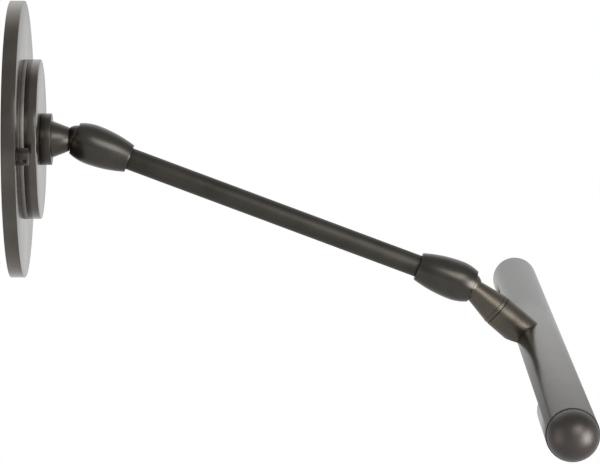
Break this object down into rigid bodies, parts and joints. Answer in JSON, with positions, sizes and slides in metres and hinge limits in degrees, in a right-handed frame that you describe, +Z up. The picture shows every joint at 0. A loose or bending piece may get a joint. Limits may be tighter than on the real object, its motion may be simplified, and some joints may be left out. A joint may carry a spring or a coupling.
{
  "type": "adjustable mirror light",
  "caption": "Wall-mounted mirror light: stepped round wall plate, slim arm with a ball joint at each end, and a long round-ended tubular LED head on a swivel.",
  "frame": {"origin": "centre of the wall plate's back, on the wall", "axes": "+X out of the wall, +Z up, +Y along the light head and away from a viewer who looks along the wall"},
  "size_m": [0.2546, 0.4866, 0.171],
  "materials": {
    "bronze_plate": "dark bronze plated and lacquered steel, satin",
    "bronze_turned": "turned brass, dark bronze patina, satin",
    "bronze_tube": "drawn tube, dark bronze anodised, satin",
    "pale_metal": "bare turned edge, satin",
    "zinc_steel": "zinc plated",
    "spring_steel": "oiled spring steel",
    "earth_green": "green chromate steel",
    "ptfe": "moulded PTFE",
    "nylon": "moulded nylon",
    "black_rubber": "moulded rubber",
    "bare_aluminium": "extruded",
    "circuit_board": "white solder mask",
    "opal_acrylic": "satin opal",
    "cable_black": "extruded sheath"
  },
  "bodies": {
    "wall_plate": {"backplate": "bronze_plate", "wall_strap": "zinc_steel", "earth_screw": "earth_green", "mounting_stud_near": "zinc_steel", "mounting_stud_far": "zinc_steel", "strap_nut_near": "zinc_steel", "strap_nut_far": "zinc_steel", "cap_nut_near": "bronze_turned", "cap_nut_far": "bronze_turned", "spacer_ring": "pale_metal", "canopy_disc": "bronze_plate", "collar": "bronze_turned", "nipple": "zinc_steel", "nipple_lock_nut": "zinc_steel", "nipple_washer": "zinc_steel", "wall_ball_stud": "bronze_turned", "wall_lead": "cable_black"},
    "wall_joint_liner": {"wall_liner": "ptfe"},
    "wall_joint_cup": {"wall_pressure_cup": "nylon"},
    "arm": {"wall_barrel": "bronze_turned", "wall_retaining_ring": "bronze_turned", "wall_disc_spring": "spring_steel", "wall_lock_ring": "zinc_steel", "arm_tube": "bronze_turned", "arm_lead": "cable_black", "head_barrel": "bronze_turned", "head_retaining_ring": "bronze_turned", "head_pressure_cup": "nylon", "head_disc_spring": "spring_steel", "head_lock_ring": "zinc_steel"},
    "head_joint_liner": {"head_liner": "ptfe"},
    "stem": {"head_ball_stud": "bronze_turned", "swivel_ring": "black_rubber"},
    "head": {"head_stub": "bronze_turned", "swivel_grub_screw": "spring_steel", "head_tube": "bronze_tube", "led_carrier": "bare_aluminium", "led_board": "circuit_board", "diffuser": "opal_acrylic", "head_lead": "cable_black", "end_cap_near": "bronze_tube", "end_cap_far": "bronze_tube", "end_cap_gasket_near": "black_rubber", "end_cap_gasket_far": "black_rubber", "lens_block_near": "nylon", "lens_block_far": "nylon", "stub_screw_near": "spring_steel", "stub_screw_far": "spring_steel", "carrier_screw_near": "spring_steel", "carrier_screw_far": "spring_steel"}
  },
  "joints": [
    {"name": "arm_tilt", "type": "hinge", "parent": "wall_plate", "child": "wall_joint_liner", "pos_m": [0.0303, 0, 0], "axis": [0, -1, 0], "range_deg": [0, 41]},
    {"name": "arm_turn", "type": "hinge", "parent": "wall_joint_liner", "child": "wall_joint_cup", "pos_m": [0.0303, 0, 0], "axis": [0.351, 0, 0.9364], "range_deg": [-11, 11]},
    {"name": "arm_roll", "type": "hinge", "parent": "wall_joint_cup", "child": "arm", "pos_m": [0.0303, 0, 0], "axis": [0.9364, 0, -0.351], "range_deg": [-165, 165]},
    {"name": "head_turn", "type": "hinge", "parent": "arm", "child": "head_joint_liner", "pos_m": [0.21008, 0, -0.0674], "axis": [0.351, 0, 0.9364], "range_deg": [-11, 11]},
    {"name": "head_tilt", "type": "hinge", "parent": "head_joint_liner", "child": "stem", "pos_m": [0.21008, 0, -0.0674], "axis": [0, -1, 0], "range_deg": [0, 41]},
    {"name": "head_swivel", "type": "hinge", "parent": "stem", "child": "head", "pos_m": [0.21008, 0, -0.0674], "axis": [0.7547, 0, -0.6561], "range_deg": [-165, 165]}
  ]
}
